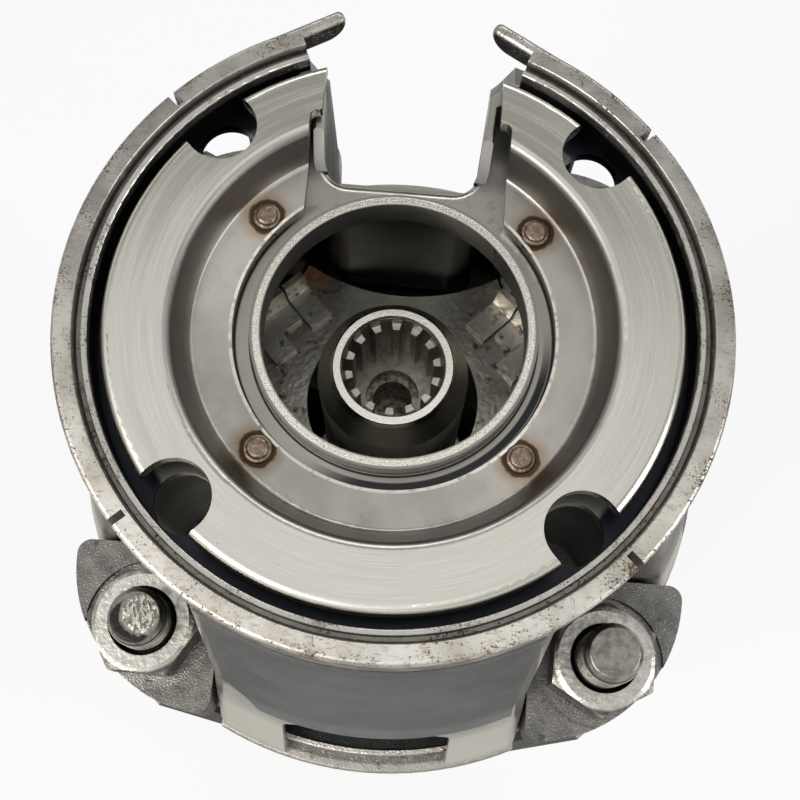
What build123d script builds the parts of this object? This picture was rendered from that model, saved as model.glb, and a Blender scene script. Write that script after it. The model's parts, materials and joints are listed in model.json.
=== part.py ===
from build123d import *
import math
import os

# A submersible well pump without its motor, standing on its discharge end.
# The axis is Z. Heights are measured from the motor's mounting face at the top, so they are
# negative here, and each piece is moved up by the pump's length when it is written.
# The front is -Y, and the cable channel is at +Y. Lengths are in millimetres.

# Clearances
seat_clearance = 0.3
running_clearance = 0.06
neck_clearance = 0.1
bonded_clearance = 0.02

# Motor mounting: ring, dished plate and collar
ring_radius = 47.65
ring_band_width = 2.85
ring_groove_width = 1.15
ring_groove_drop = 1.5
ring_ridge_width = 0.9
ring_ridge_drop = 0.8
ring_height = 8.0
ring_gap_angle = 21.6
ring_bead_depths = (3.0, 5.2)
ring_bead_cut = 0.35
ring_nick_width = 1.1
ring_nick_depth = 2.4
ear_thickness = 2.1
ear_height = 4.4
ear_angle = 30.0
ear_root_x = 21.5
ear_length = 11.2
ear_end_round = 3.2
plate_gap = 1.7
plate_sheet = 2.2
plate_face_drop = 0.4
plate_rim_roll = 3.2
dish_top_radius = 31.6
dish_floor_radius = 29.0
dish_inner_radius = 23.2
pilot_bore_radius = 19.05
collar_wall = 1.55
collar_rim_depth = 4.3
stud_circle_radius = 38.1
stud_hole_radius = 4.5
stud_slot_width = 10.6
stud_slot_reach = 4.5
weld_circle_radius = 25.7
weld_hole_radius = 2.15
weld_head_radius = 1.6
weld_head_height = 0.9

# Inlet shell: four drums round the pockets over the lugs, flared to a skirt at the foot
shell_sheet = 2.0
shell_straight_depth = 15.0
waist_radius = 53.8
knee_radius = 56.0
drum_half_width = 26.5
side_drum_half_width = 24.4
side_step = 2.6
drum_edge_round = 3.0
scoop_radius = 8.7
scoop_edge_round = 1.2
window_width = 28.6
window_arch = 3.8
window_round = 1.5

# Cable channel, in the drum at the back
channel_sheet = 1.5
channel_floor_y = 23.4
channel_offset = -1.0
channel_half_width = 11.3
channel_draft = 0.075
channel_corner_round = 3.8
channel_flare_y = 36.9
channel_flare_width = 3.9
channel_flare_depth = 20.0
channel_chute_depth = 45.0
channel_chute_y = 54.5
channel_edge_round = 1.4
lip_depth = 3.5
lip_start_y = 25.2
lip_full_y = 30.0
lip_round = 0.5
plate_mouth_half_width = 13.1
plate_mouth_y = 31.3
plate_throat_half_width = 14.75

# Baffle over the suction chamber and its welded strips
baffle_depth = 42.0
baffle_sheet = 1.5
baffle_opening_radius = 14.5
baffle_back_arc_radius = 32.0
baffle_back_arc_y = 51.0
foot_width = 4.2
foot_sheet = 1.2
foot_bend = 25.0
foot_rise = 4.5
foot_direction = 46.0
foot_offsets = (0.5, 5.1, 9.2)
foot_starts = (18.5, 21.0, 17.3)

# Suction flange with the lugs for the straps
lug_top_depth = 58.8
lug_thickness = 11.4
lug_side_gap = 0.6
lug_corner_round = 2.5
spot_face_radius = 11.3
spot_face_depth = 1.1
flange_floor = 2.0
rim_bead_height = 1.0
rim_bead_width = 1.0
rim_width = 20.0
pier_roof = 4.0

# Stages
bowl_radius = 56.6
strap_room = 4.3
bowl_sheet = 2.0
stage_pitch = 60.0
stage_count = 2
spigot_height = 4.0
web_sheet = 2.0
eye_radius = 32.25
neck_ring_width = 3.6
neck_ring_height = 5.0
impeller_sheet = 1.5
impeller_outlet_width = 11.0
impeller_length = 32.0
impeller_top_gap = 2.0
blade_count = 6
blade_sheet = 1.5
blade_sweep = 75.0
hub_radius = 15.5
guide_vane_count = 7
guide_vane_sheet = 1.5
guide_vane_sweep = 50.0
guide_gap = 3.0
bowl_corner_round = 3.0
bowl_draft = 1.0
bearing_radius = 13.0
bearing_holder_wall = 2.5
last_chamber_length = 40.0
spider_foot_height = 8.0
spider_height = 18.0
spider_arm_width = 6.0

# Shaft and coupling
shaft_radius = 8.5
shaft_top_depth = 52.0
shaft_foot_overhang = 6.0
coupling_mouth_depth = 22.2
coupling_mouth_radius = 9.45
coupling_mouth_bore = 8.25
coupling_cone_depth = 27.5
coupling_radius = 12.0
coupling_foot_depth = 74.0
motor_shaft_depth = 38.6
spline_count = 14
spline_land_radius = 6.4
spline_slot_radius = 8.0
spline_slot_width = 1.9
spline_inset = 0.6
coupling_step_radius = 4.4
coupling_step_depth = 41.5
coupling_drain_radius = 3.3
coupling_pin_radius = 2.0
coupling_pin_depth = 62.0
cone_thin_wall = 1.6
cone_thick_wall = 3.4
cone_nut_height = 8.0
cone_nut_across_flats = 27.0

# Valve casing with the check valve
casing_length = 162.0
casing_collar_height = 12.0
casing_groove_radius = 51.5
casing_groove_height = 8.0
casing_body_radius = 53.5
casing_cavity_radius = 48.3
casing_ledge_width = 3.3
casing_spigot_wall = 2.3
guide_ledge_drop = 80.0
discharge_socket_radius = 50.0
discharge_bore_radius = 42.5
discharge_thread_length = 36.0
discharge_stop_radius = 40.0
seat_opening_radius = 34.0
seat_thickness = 5.0
seat_drop = 4.0
retainer_height = 2.5
retainer_width = 4.0
cup_radius = 38.0
cup_thickness = 5.0
cup_stem_radius = 5.0
cup_stem_overhang = 4.0
guide_height = 18.0
guide_hub_wall = 4.0
guide_ring_width = 3.0
guide_arm_width = 5.0
guide_arm_count = 4
spring_wire_radius = 1.0
spring_radius = 8.5
spring_turns = 4.5

# Straps and their nuts
strap_width = 20.0
strap_sheet = 2.5
strap_bend = 1.2
strap_head_reach = 9.6
strap_stud_inset = 5.5
strap_stud_radius = 5.0
strap_stud_end_radius = 4.65
strap_stud_end_length = 8.5
strap_stud_tip_radius = 4.05
strap_tip_depths = (43.0, 43.0, 45.1, 41.4)
strap_hole_clearance = 0.3
nut_across_flats = 17.0
nut_height = 8.3
nut_face_radius = 7.9
nut_countersink_radius = 5.85
nut_countersink_depth = 2.3
nut_turn = 14.0

# Sizes that follow
shelf_top = -ring_height
shelf_foot = shelf_top - shell_sheet
ring_bore_radius = ring_radius - ring_band_width - ring_groove_width - ring_ridge_width
plate_radius = ring_bore_radius - plate_gap
collar_radius = pilot_bore_radius + collar_wall
flange_radius = bowl_radius + strap_room
skirt_radius = flange_radius - 0.7
strap_circle_radius = flange_radius - strap_stud_inset
strap_radius = flange_radius + seat_clearance
lug_arc_radius = flange_radius + 3.8 - stud_circle_radius
lug_top = -lug_top_depth
lug_foot = lug_top - lug_thickness
shell_foot = lug_foot - strap_sheet - seat_clearance - rim_bead_height
flange_foot = shell_foot - flange_floor
waist = lug_top + 5.8
knee = lug_top + 0.8
window_top = lug_top + 1.1
skirt_top = shell_foot + 4.0
pier_radius = scoop_radius + shell_sheet
bowl_bore = bowl_radius - bowl_sheet
vane_tip_radius = bowl_bore - bowl_draft - bowl_corner_round - 0.2
guide_cover_radius = vane_tip_radius - guide_gap
impeller_radius = guide_cover_radius - guide_gap
first_bowl_top = flange_foot - web_sheet
last_chamber_top = first_bowl_top - stage_count * stage_pitch
casing_top = last_chamber_top - last_chamber_length
casing_top_bore_radius = bowl_bore - seat_clearance - casing_spigot_wall
seat_top = casing_top - seat_drop
guide_ledge = casing_top - guide_ledge_drop
discharge_face = casing_top - casing_length
pump_length = -discharge_face
bearing_bore = shaft_radius + running_clearance
bearing_holder_radius = bearing_radius + bearing_holder_wall
corner_angles = (45, 135, 225, 315)
far = 2 * (stud_circle_radius + lug_arc_radius)


def profile(*corners):
    """A closed face in the plane of radius and height. A third value rounds a corner."""
    points = [corner[:2] for corner in corners]
    radii = [corner[2] if len(corner) > 2 else 0 for corner in corners]
    if not any(radii):
        return make_face(Polyline(*points, close=True))
    return make_face(FilletPolyline(*points, radius=radii, close=True))


def turned(*corners):
    """A body of revolution about the pump's axis."""
    return revolve(Plane.XZ * profile(*corners), Axis.Z)


def prism(face, foot, top):
    """A flat outline seen from above, made solid between two heights."""
    return extrude(Pos(0, 0, foot) * face, top - foot)


def disc(radius, foot, top):
    return prism(Circle(radius), foot, top)


def ring(outer, inner, foot, top):
    return prism(Circle(outer) - Circle(inner), foot, top)


def around(shape, angles):
    """Copies of a shape, turned about the pump's axis."""
    return [Rot(0, 0, angle) * shape for angle in angles]


def evenly(count):
    return [360 / count * step for step in range(count)]


def upright_block(inner, outer, width, foot, top):
    """A block that reaches outward along +X from one radius to another."""
    face = Pos((inner + outer) / 2, 0) * Rectangle(outer - inner, width)
    return prism(face, foot, top)


def hexagon(across_flats):
    return RegularPolygon(across_flats / 2, 6, major_radius=False)


def mirrored_outline(half):
    """An outline that is the same on both sides of the Y axis, from its right half."""
    return profile(*half, *[(-x, y, r) for x, y, r in reversed(half)])


def channel_width(y):
    """Half the cable channel's width, which grows outward by its draft."""
    return channel_half_width + (y - channel_floor_y) * channel_draft


def channel_outline(wall):
    """The cable channel seen from above, grown by a wall's thickness."""
    return Pos(channel_offset, 0) * mirrored_outline([
        (channel_half_width + wall, channel_floor_y - wall, channel_corner_round + wall),
        (channel_width(far / 2) + wall, far / 2, 0),
    ])


def channel_flare(wall):
    """The channel's mouth, which opens sideways towards the mounting ring."""
    side = channel_width(channel_flare_y)
    flared = side + channel_flare_width
    seen_from_above = mirrored_outline([
        (side + wall, channel_flare_y - wall, 3.0),
        (flared + wall, channel_flare_y + channel_flare_width, 3.0),
        (flared + wall, far / 2, 0),
    ])
    seen_from_behind = mirrored_outline([
        (side + wall, -channel_flare_depth - wall, 0),
        (flared + wall, shelf_top - wall, 4.0),
        (flared + wall, 1, 0),
    ])
    block = extrude(Plane.XZ * seen_from_behind, -far / 2)
    return Pos(channel_offset, 0, 0) * (block & prism(seen_from_above, -far / 2, 1))


def channel_space(wall):
    """The whole channel, whose floor turns outward on a slope near its lower end."""
    drop = wall * 1.3
    side = profile(
        (channel_floor_y - wall, 1),
        (channel_floor_y - wall, -channel_chute_depth - drop, 8.0),
        (channel_chute_y, shell_foot - drop),
        (channel_chute_y, flange_foot - 1),
        (far / 2, flange_foot - 1),
        (far / 2, 1),
    )
    slab = extrude(Plane.YZ * side, far / 2, both=True)
    return (slab & prism(channel_outline(wall), flange_foot - 1, 1)) + channel_flare(wall)


def mounting_ring():
    """The outer band with its groove and ridge, and the two ears beside the cable channel."""
    groove_outer = ring_radius - ring_band_width
    groove_inner = groove_outer - ring_groove_width
    body = turned(
        (ring_bore_radius, shelf_top),
        (ring_radius, shelf_top, 0.8),
        (ring_radius, 0, 0.7),
        (groove_outer, 0, 0.3),
        (groove_outer - 0.5, -ring_groove_drop),
        (groove_inner + 0.1, -ring_groove_drop),
        (groove_inner - 0.1, -ring_ridge_drop),
        (ring_bore_radius, -ring_ridge_drop - 0.1, 0.25),
    )
    for depth in ring_bead_depths:
        body -= ring(far / 2, ring_radius - ring_bead_cut, -depth - ring_bead_cut, -depth)
    reach = math.tan(math.radians(ring_gap_angle)) * far
    gap = make_face(Polyline((0, 0), (reach, far), (-reach, far), close=True))
    body -= prism(gap, shelf_top, 0)
    nick = upright_block(
        ring_radius - ring_nick_depth, ring_radius + 1, ring_nick_width, shelf_top, 0
    )
    body -= around(nick, (42.0, 138.0, 222.0, 318.0))
    return body + ring_ear() + mirror(ring_ear(), Plane.YZ)


def ring_ear():
    """A flat strip that carries the band on in a straight line, with a rounded end."""
    side = profile(
        (0, 0),
        (ear_length, 0, 1.0),
        (ear_length, -ear_height, ear_end_round),
        (0, -ear_height),
    )
    angle = math.radians(ear_angle)
    root_y = math.sqrt(ring_radius**2 - ear_root_x**2) + 0.05
    place = Plane(
        origin=(ear_root_x, root_y, 0),
        x_dir=(-math.cos(angle), math.sin(angle), 0),
        z_dir=(math.sin(angle), math.cos(angle), 0),
    )
    strip = extrude(place * side, -ear_thickness)
    tip = strip.edges().filter_by(Axis.Z).sort_by(Axis.X)[:2]
    return fillet(tip, ear_thickness * 0.4)


def motor_plate():
    """The dished plate that the motor's face stands on, with open slots for its studs."""
    face = -plate_face_drop
    floor = shelf_top + plate_sheet
    sheet = plate_sheet
    slope = sheet * 0.45
    body = turned(
        (dish_inner_radius, shelf_top),
        (dish_floor_radius + slope, shelf_top, sheet * 0.6),
        (dish_top_radius + slope, face - sheet, sheet * 0.6),
        (plate_radius - sheet, face - sheet, 0.3),
        (plate_radius - sheet + 0.4, -plate_rim_roll),
        (plate_radius, -plate_rim_roll),
        (plate_radius, face, 1.4),
        (dish_top_radius, face, 1.6),
        (dish_floor_radius, floor, 0.8),
        (dish_inner_radius, floor),
    )
    half = stud_slot_width / 2
    centre = stud_circle_radius - stud_slot_reach + half
    slot = Pos(centre, 0) * Circle(half)
    slot += Pos(centre + ring_radius / 2, 0) * Rectangle(ring_radius, stud_slot_width)
    body -= around(prism(slot, shelf_top, 1), corner_angles)
    weld_hole = Pos(weld_circle_radius, 0) * Circle(weld_hole_radius)
    body -= around(prism(weld_hole, shelf_top, 1), weld_angles())
    opening = mirrored_outline([
        (plate_throat_half_width, pilot_bore_radius / 2, 0),
        (plate_throat_half_width, plate_mouth_y, 1.0),
        (plate_mouth_half_width, plate_mouth_y, 0.4),
        (plate_mouth_half_width, far / 2, 0),
    ])
    return body - prism(opening, shelf_top, 1)


def weld_angles():
    return (41.0, 141.0, 227.0, 318.0)


def plug_welds():
    """The plugs that join the dished plate's floor to the inlet shell."""
    floor = shelf_top + plate_sheet
    radius = weld_hole_radius - bonded_clearance
    plug = turned(
        (0, shelf_top),
        (radius, shelf_top),
        (radius, floor + 0.15, 0.12),
        (weld_head_radius, floor + 0.3, 0.1),
        (weld_head_radius, floor + weld_head_height, 0.5),
        (0, floor + weld_head_height),
    )
    return around(Pos(weld_circle_radius, 0) * plug, weld_angles())


def front_bar(gap):
    """The strip that the front and back drums fill, seen from above, grown by a gap."""
    return Rectangle(2 * (drum_half_width + gap), far)


def side_bar(gap):
    """The strip that the left and right drums fill, seen from above, grown by a gap."""
    return Rectangle(far, 2 * (side_drum_half_width + gap))


def flared(inset, step, top):
    """A drum's outer form, straight at the top and flared to a skirt that a step narrows."""
    skirt = skirt_radius - step - inset
    return turned(
        (0, shell_foot),
        (skirt, shell_foot),
        (skirt, skirt_top, 6.0),
        (knee_radius - step / 3 - inset, knee, 8.0),
        (waist_radius - inset, waist, 8.0),
        (ring_radius - inset, -shell_straight_depth, 20.0),
        (ring_radius - inset, top),
        (0, top),
    )


def drum_body(inset, top):
    """The four drums and their skirt as one solid, less a wall's thickness."""
    body = flared(inset, 0, top) & prism(front_bar(-inset), shell_foot, top)
    body += flared(inset, side_step, top) & prism(side_bar(-inset), shell_foot, top)
    scoop = Pos(stud_circle_radius, 0) * Circle(scoop_radius + inset)
    return body - around(prism(scoop, shell_foot, top), corner_angles)


def inlet_window():
    """An arched opening through the skirt, seen along +X."""
    half = window_width / 2
    left_top = (-half, window_top)
    right_top = (half, window_top)
    outline = Polyline(left_top, (-half, shell_foot - 1), (half, shell_foot - 1), right_top)
    outline += ThreePointArc(right_top, (0, window_top + window_arch), left_top)
    face = make_face(outline)
    face = fillet(face.vertices().group_by(Axis.Y)[-1], window_round)
    return extrude(Plane.YZ * face, far / 2)


def round_upright(body, nearest, farthest, radius):
    """Rounds the long upright edges that are between two distances from the axis."""
    edges = body.edges().filter_by(lambda edge: edge.bounding_box().size.Z > 20)
    chosen = [edge for edge in edges
              if nearest < math.hypot(edge.center().X, edge.center().Y) < farthest]
    return fillet(chosen, radius)


def edges_at(body, height):
    return [edge for edge in body.edges() if abs(edge.center().Z - height) < 0.01]


def inlet_shell():
    """The drawn shell: a top wall with the pilot collar, four drums and the cable channel."""
    body = round_upright(drum_body(0, shelf_top), ring_radius, far, drum_edge_round)
    body = round_upright(body, stud_circle_radius, ring_radius, scoop_edge_round)
    body += disc(ring_radius - seat_clearance, shelf_foot, shelf_top)
    body -= drum_body(shell_sheet, shelf_foot)
    room = disc(ring_bore_radius - seat_clearance, shelf_top, -lip_depth) + drum_body(0, shelf_top)
    body += (channel_space(channel_sheet) & room) - lip_trim()
    body += ring(collar_radius, pilot_bore_radius, shelf_foot, -collar_rim_depth)
    body -= disc(pilot_bore_radius, shelf_foot, 0)
    body -= channel_space(0)
    body -= rolled_edge()
    lips = [edge for edge in edges_at(body, -lip_depth) if edge.length > 4]
    body = fillet(lips, lip_round)
    body -= around(inlet_window(), (0, 180, 270))
    hole = Pos(stud_circle_radius, 0) * Circle(stud_hole_radius)
    body -= around(prism(hole, shelf_foot, shelf_top), corner_angles)
    pier = Pos(stud_circle_radius, 0) * Circle(pier_radius + seat_clearance)
    return body - around(prism(pier, shell_foot, lug_top), corner_angles)


def rolled_edge():
    """What is cut off the shelf's edge, where it rolls over into the channel."""
    foot = shelf_top - 2 * channel_edge_round
    block = prism(Pos(0, lip_start_y - far / 4) * Rectangle(far, far / 2), foot, shelf_top)
    channel = prism(channel_outline(0), foot, shelf_top)
    rounded = block - channel
    mouth = [edge for edge in edges_at(rounded, shelf_top)
             if edge.center().Y > 0 and abs(edge.center().X) < channel_half_width + 0.1
             and edge.center().Y < lip_start_y - 0.01]
    return block - fillet(mouth, channel_edge_round)


def lip_trim():
    """What is cut off the channel's lips, which rise from the shelf on a slope."""
    side = profile(
        (0, shelf_top),
        (lip_start_y, shelf_top),
        (lip_full_y, -lip_depth),
        (lip_full_y, 1),
        (0, 1),
    )
    return extrude(Plane.YZ * side, far / 2, both=True)


def floor_baffle():
    """The plate over the suction chamber, with the opening that the coupling stands in."""
    top = -baffle_depth
    foot = top - baffle_sheet
    body = disc(ring_radius + 2, foot, top) & drum_body(shell_sheet + seat_clearance, shelf_foot)
    body -= Pos(0, baffle_back_arc_y) * disc(baffle_back_arc_radius, foot, top)
    return body - disc(baffle_opening_radius, foot, top)


def baffle_feet():
    """Bent strips side by side on the baffle, which lean up towards the scooped walls."""
    top = -baffle_depth
    end = stud_circle_radius - pier_radius - 2 * seat_clearance
    feet = []
    for offset, start in zip(foot_offsets, foot_starts):
        strip = profile(
            (start, top),
            (foot_bend, top),
            (end, top + foot_rise),
            (end - foot_sheet, top + foot_rise + 0.4),
            (foot_bend - 0.4, top + foot_sheet),
            (start, top + foot_sheet),
        )
        foot = Pos(0, -offset, 0) * extrude(Plane.XZ * strip, foot_width / 2, both=True)
        foot = Rot(0, 0, foot_direction) * foot
        feet += [foot, mirror(foot, Plane.YZ)]
    return feet


def strap_place():
    """Where the straps' studs stand, seen from above along +X."""
    return Pos(strap_circle_radius, 0)


def flange_rim(step):
    """The rim that the skirt stands on, with the bead inside it, narrowed by a step."""
    outer = flange_radius - step
    bead_outer = skirt_radius - step - shell_sheet - seat_clearance
    return turned(
        (flange_radius - rim_width, flange_foot),
        (outer, flange_foot, 0.5),
        (outer, shell_foot, 0.6),
        (bead_outer, shell_foot),
        (bead_outer, shell_foot + rim_bead_height, 0.4),
        (bead_outer - rim_bead_width, shell_foot + rim_bead_height),
        (bead_outer - rim_bead_width - 0.2, shell_foot),
        (flange_radius - rim_width, shell_foot),
    )


def suction_flange():
    """The cast flange: a rim under the drums, a hollow pier in each pocket and four lugs."""
    front = prism(front_bar(0), flange_foot, lug_foot)
    body = (flange_rim(0) & front) + (flange_rim(side_step) - front)
    inset = shell_sheet + seat_clearance
    bead_room = prism(front_bar(-inset) + side_bar(-inset), shell_foot, lug_foot)
    body &= bead_room + disc(far, flange_foot, shell_foot)
    pier_place = Pos(stud_circle_radius, 0)
    lug_outline = Sketch() + around(pier_place * Circle(lug_arc_radius), corner_angles)
    lug_outline -= front_bar(lug_side_gap) + side_bar(lug_side_gap)
    corners = lug_outline.vertices().filter_by(lambda v: math.hypot(v.X, v.Y) > ring_radius)
    body += prism(fillet(corners, lug_corner_round), lug_foot, lug_top)
    body += around(pier_place * disc(pier_radius, flange_foot, lug_top), corner_angles)
    hollow = pier_place * disc(scoop_radius - 1, flange_foot, lug_top - pier_roof)
    body -= around(hollow, corner_angles)
    hole = strap_place() * Circle(strap_stud_radius + strap_hole_clearance)
    body -= around(prism(hole, lug_foot, lug_top), corner_angles)
    spot = strap_place() * Circle(spot_face_radius)
    body -= around(prism(spot, lug_top - spot_face_depth, lug_top), corner_angles)
    return body - channel_space(channel_sheet + seat_clearance)


def suction_plate():
    """The plate between flange and first bowl, which holds the first neck ring."""
    bore = eye_radius + neck_clearance + neck_ring_width + bonded_clearance
    body = ring(bowl_radius - seat_clearance, bore, first_bowl_top, flange_foot)
    lip = ring(bore + web_sheet, bore, first_bowl_top - 2.0, first_bowl_top)
    return body + lip


def neck_ring(web_top):
    """The ring that the impeller's neck runs in."""
    bore = eye_radius + neck_clearance
    return turned(
        (bore, web_top - neck_ring_height + 1.0),
        (bore + neck_ring_width, web_top - neck_ring_height + 1.0),
        (bore + neck_ring_width, web_top + 1.0, 0.5),
        (bore, web_top + 1.0, 1.0),
    )


def bowl(top):
    """A stage's outer chamber, with its web for the next neck ring and its spigot."""
    foot = top - stage_pitch
    bore = eye_radius + neck_clearance + neck_ring_width + bonded_clearance
    spigot = bowl_bore - seat_clearance
    return turned(
        (bowl_bore, top),
        (bowl_radius, top, 0.5),
        (bowl_radius, foot, 0.5),
        (spigot, foot),
        (spigot, foot - spigot_height),
        (spigot - bowl_sheet, foot - spigot_height),
        (spigot - bowl_sheet, foot),
        (bore + web_sheet, foot),
        (bore + web_sheet, foot - 2.0),
        (bore, foot - 2.0),
        (bore, foot + web_sheet),
        (bowl_bore - bowl_draft, foot + web_sheet, bowl_corner_round),
    )


def curved_vane(inner, outer, sheet, bend, foot, top):
    """An upright vane that runs outward on an arc."""
    tip = (outer * math.cos(math.radians(bend)), outer * math.sin(math.radians(bend)))
    line = ThreePointArc(
        (inner, 0),
        (
            (inner + outer) / 2 * math.cos(math.radians(bend * 0.33)),
            (inner + outer) / 2 * math.sin(math.radians(bend * 0.33)),
        ),
        tip,
    )
    return prism(make_face(offset_outline(line, sheet)), foot, top)


def offset_outline(line, sheet):
    return trace(line, sheet).wire()


def guide_vanes(top):
    """The return guide of a stage: cover, vanes and the holder of the shaft's bearing."""
    foot = top - stage_pitch + web_sheet
    cover_top = top - impeller_top_gap - impeller_length - 3.0
    cover_foot = cover_top - web_sheet
    hub = bearing_holder_radius
    body = ring(guide_cover_radius, bearing_radius + bonded_clearance, cover_foot, cover_top)
    body += ring(hub, bearing_radius + bonded_clearance, foot + 1.0, cover_top)
    vane = curved_vane(
        hub - 0.5, vane_tip_radius, guide_vane_sheet, guide_vane_sweep, foot, cover_foot
    )
    return body + around(vane, evenly(guide_vane_count))


def chamber_bearing(top):
    foot = top - stage_pitch + web_sheet + 1.0
    cover_top = top - impeller_top_gap - impeller_length - 3.0
    return ring(bearing_radius, bearing_bore, foot, cover_top)


def impeller(top):
    """A closed impeller: hub with back plate, curved blades and front shroud with its neck."""
    rim = top - impeller_top_gap
    foot = rim - impeller_length
    sheet = impeller_sheet
    back = foot + sheet
    mouth = back + impeller_outlet_width
    hub_top = rim - cone_nut_height - 2.0
    hub = turned(
        (cone_outer(hub_top, hub_top, foot), hub_top),
        (hub_radius, hub_top, 1.0),
        (hub_radius + 1.0, foot + 8.0, 6.0),
        (hub_radius + 9.0, back, 4.0),
        (impeller_radius, back),
        (impeller_radius, foot),
        (cone_outer(foot, hub_top, foot), foot),
    )
    shroud = turned(
        (eye_radius - sheet, rim),
        (eye_radius, rim),
        (eye_radius, mouth + 5.0, 4.0),
        (impeller_radius, mouth + sheet),
        (impeller_radius, mouth),
        (eye_radius - sheet, mouth + 5.0 - sheet, 4.0),
    )
    space = turned(
        (hub_radius, back - 0.2),
        (impeller_radius, back - 0.2),
        (impeller_radius, mouth + 0.3),
        (eye_radius - 0.5, mouth + 5.0 - sheet),
        (hub_radius, mouth + 2.0),
    )
    blade = curved_vane(hub_radius + 1.0, impeller_radius, blade_sheet, blade_sweep, foot, rim)
    blades = [each & space for each in around(blade, evenly(blade_count))]
    body = hub + shroud
    for each in blades:
        body += each
    return body


def cone_outer(height, top, foot):
    """The outer radius of the split cone at a height, wider towards its nut."""
    share = (height - foot) / (top - foot)
    wall = cone_thin_wall + (cone_thick_wall - cone_thin_wall) * share
    return shaft_radius + bonded_clearance + wall + bonded_clearance


def split_cone(top):
    """The slit cone that clamps an impeller on the shaft."""
    rim = top - impeller_top_gap
    hub_top = rim - cone_nut_height - 2.0
    foot = rim - impeller_length
    bore = shaft_radius + bonded_clearance
    wide = cone_outer(hub_top, hub_top, foot) - bonded_clearance
    narrow = cone_outer(foot, hub_top, foot) - bonded_clearance
    body = turned((bore, foot), (narrow, foot), (wide, hub_top), (bore, hub_top))
    slit = upright_block(0, hub_radius, 1.2, foot, hub_top)
    return body - slit


def cone_nut(top):
    """The nut that draws the cone into the hub."""
    foot = top - impeller_top_gap - cone_nut_height - 2.0
    outline = hexagon(cone_nut_across_flats) - Circle(shaft_radius + bonded_clearance)
    body = prism(outline, foot, foot + cone_nut_height)
    chamfer = turned(
        (0, foot - 1),
        (cone_nut_across_flats / 2 + 3.0, foot - 1),
        (cone_nut_across_flats / 2 + 3.0, foot + cone_nut_height - 1.5),
        (cone_nut_across_flats / 2 - 0.5, foot + cone_nut_height),
        (0, foot + cone_nut_height),
    )
    return body & chamfer


def last_chamber():
    """The chamber after the last stage, with the spider that holds the end bearing."""
    top = last_chamber_top
    foot = casing_top
    body = turned(
        (bowl_bore, top),
        (bowl_radius, top, 0.5),
        (bowl_radius, foot, 0.5),
        (bowl_bore, foot),
    )
    arm_foot = foot + spider_foot_height
    arm_top = arm_foot + spider_height
    arm = upright_block(bearing_radius + 1.0, bowl_bore + 0.5, spider_arm_width, arm_foot, arm_top)
    body += around(arm, evenly(4))
    hub = disc(bearing_holder_radius, arm_foot, arm_top)
    return body + hub - disc(bearing_radius + bonded_clearance, arm_foot, arm_top)


def end_bearing():
    foot = casing_top + spider_foot_height
    return ring(bearing_radius, bearing_bore, foot, foot + spider_height)


def pump_shaft():
    """The shaft, with a chamfer at each end and a cross hole for the coupling's pin."""
    foot = casing_top + spider_foot_height - shaft_foot_overhang
    body = turned(
        (0, foot),
        (shaft_radius - 1.0, foot),
        (shaft_radius, foot + 1.0),
        (shaft_radius, -shaft_top_depth - 1.0),
        (shaft_radius - 1.0, -shaft_top_depth),
        (0, -shaft_top_depth),
    )
    return body - pin_rod(coupling_pin_radius + bonded_clearance, far)


def pin_rod(radius, length):
    return Pos(0, 0, -coupling_pin_depth) * Rot(0, 90, 0) * Cylinder(radius, length)


def spline_coupling():
    """The coupling: a splined socket for the motor's shaft above, a pinned socket below."""
    mouth = -coupling_mouth_depth
    body = turned(
        (0, -coupling_foot_depth),
        (coupling_radius, -coupling_foot_depth, 0.8),
        (coupling_radius, -coupling_cone_depth, 0.6),
        (coupling_mouth_radius, mouth, 0.3),
        (0, mouth),
    )
    rough_face = -motor_shaft_depth
    slot = Pos(spline_slot_radius / 2, 0) * Rectangle(spline_slot_radius, spline_slot_width)
    splines = Circle(spline_land_radius) + around(slot, evenly(spline_count))
    body -= prism(splines, rough_face, mouth)
    body -= turned(
        (0, mouth - spline_inset - 0.8),
        (coupling_mouth_bore - 0.8, mouth - spline_inset - 0.8),
        (coupling_mouth_bore, mouth - spline_inset),
        (coupling_mouth_bore, mouth),
        (0, mouth),
    )
    body -= disc(coupling_step_radius, -coupling_step_depth, rough_face)
    body -= disc(coupling_drain_radius, -shaft_top_depth, rough_face)
    body -= disc(shaft_radius + bonded_clearance, -coupling_foot_depth, -shaft_top_depth)
    return body - pin_rod(coupling_pin_radius + bonded_clearance, far)


def coupling_pin():
    return pin_rod(coupling_pin_radius, 2 * coupling_radius - 0.6)


def valve_casing():
    """The cast casing of the check valve, with the strap groove and the discharge socket."""
    top = casing_top
    groove_top = top - casing_collar_height
    groove_foot = groove_top - casing_groove_height
    seat_ledge = seat_top - seat_thickness
    socket_top = discharge_face + discharge_thread_length
    spigot = bowl_bore - seat_clearance
    return turned(
        (spigot, top + spigot_height),
        (spigot, top),
        (flange_radius, top, 0.5),
        (flange_radius, groove_top, 0.8),
        (casing_groove_radius, groove_top),
        (casing_groove_radius, groove_foot, 2.0),
        (casing_body_radius, groove_foot - 3.0, 3.0),
        (casing_body_radius, guide_ledge - 6.0, 14.0),
        (discharge_socket_radius, socket_top + 6.0, 10.0),
        (discharge_socket_radius, discharge_face, 1.0),
        (discharge_bore_radius, discharge_face, 0.8),
        (discharge_bore_radius, socket_top),
        (discharge_stop_radius, socket_top),
        (discharge_stop_radius, socket_top + 4.0, 4.0),
        (casing_cavity_radius - casing_ledge_width, guide_ledge - 8.0, 8.0),
        (casing_cavity_radius - casing_ledge_width, guide_ledge),
        (casing_cavity_radius, guide_ledge),
        (casing_cavity_radius, seat_ledge),
        (casing_top_bore_radius, seat_ledge),
        (casing_top_bore_radius, top + spigot_height),
    )


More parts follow.
